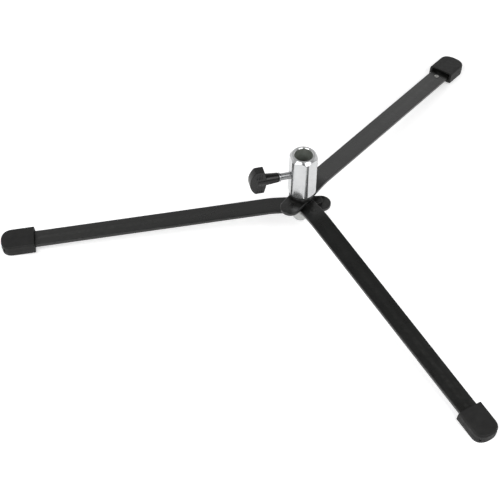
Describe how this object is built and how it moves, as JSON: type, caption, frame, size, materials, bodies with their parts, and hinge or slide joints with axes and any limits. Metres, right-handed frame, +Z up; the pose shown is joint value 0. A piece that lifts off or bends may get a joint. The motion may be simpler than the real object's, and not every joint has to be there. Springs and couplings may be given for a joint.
{
  "type": "light stand base",
  "caption": "Low folding floor base for studio lighting: flat bent steel legs with rubber boots that swing about a hexagonal stud socket with a thumbscrew.",
  "frame": {"origin": "centre of the stud seat, the flat floor of the socket's bore; the floor the base stands on is 60.7 mm below it", "axes": "+Z up along the socket's bore; +X to the right and +Y away from the viewer; the fixed middle leg points 60 degrees clockwise from +X, seen from above"},
  "size_m": [0.4526, 0.4789, 0.1005],
  "materials": {
    "black_powder_coat": "satin black powder coat on steel",
    "black_rubber": "matte moulded rubber",
    "black_plastic": "semi-gloss moulded plastic",
    "chrome": "bright chrome plating",
    "zinc": "zinc-plated steel",
    "nylon": "natural nylon"
  },
  "bodies": {
    "hub": {"socket": "chrome", "socket_flange": "black_powder_coat", "pivot_stud": "zinc", "lock_nut": "zinc", "lock_nut_insert": "nylon", "spring_washer": "zinc", "bottom_washer": "zinc", "lower_leg_washer": "black_plastic", "upper_leg_washer": "black_plastic", "middle_leg_bar": "black_powder_coat", "middle_leg_boot": "black_rubber", "middle_leg_rivet": "zinc"},
    "lower_leg": {"lower_leg_bar": "black_powder_coat", "lower_leg_boot": "black_rubber", "lower_leg_rivet": "zinc", "lower_leg_stop": "black_powder_coat"},
    "upper_leg": {"upper_leg_bar": "black_powder_coat", "upper_leg_boot": "black_rubber", "upper_leg_rivet": "zinc", "upper_leg_stop": "black_powder_coat"},
    "clamp_pad": {"pressure_pad": "zinc"},
    "thumbscrew": {"thumbscrew_knob": "black_plastic", "thumbscrew_stud": "chrome", "thumbscrew_collar": "chrome"}
  },
  "joints": [
    {"name": "lower_leg_swing", "type": "hinge", "parent": "hub", "child": "lower_leg", "pos_m": [0, 0, -0.0229], "axis": [0, 0, 1], "range_deg": [-1.4, 106.5]},
    {"name": "upper_leg_swing", "type": "hinge", "parent": "hub", "child": "upper_leg", "pos_m": [0, 0, -0.0119], "axis": [0, 0, 1], "range_deg": [-100.5, 7.4]},
    {"name": "clamp_travel", "type": "slide", "parent": "hub", "child": "clamp_pad", "axis": [0.9816, 0.1908, 0], "range_m": [-0.00101, 0.00301]},
    {"name": "thumbscrew_turn", "type": "hinge", "parent": "clamp_pad", "child": "thumbscrew", "pos_m": [0, 0, 0.0168], "axis": [0.9816, 0.1908, 0], "range_deg": [-360, 1080]}
  ],
  "couplings": [
    {"joint": "clamp_travel", "follows": "thumbscrew_turn", "m_per_rad": 0.00015915}
  ]
}
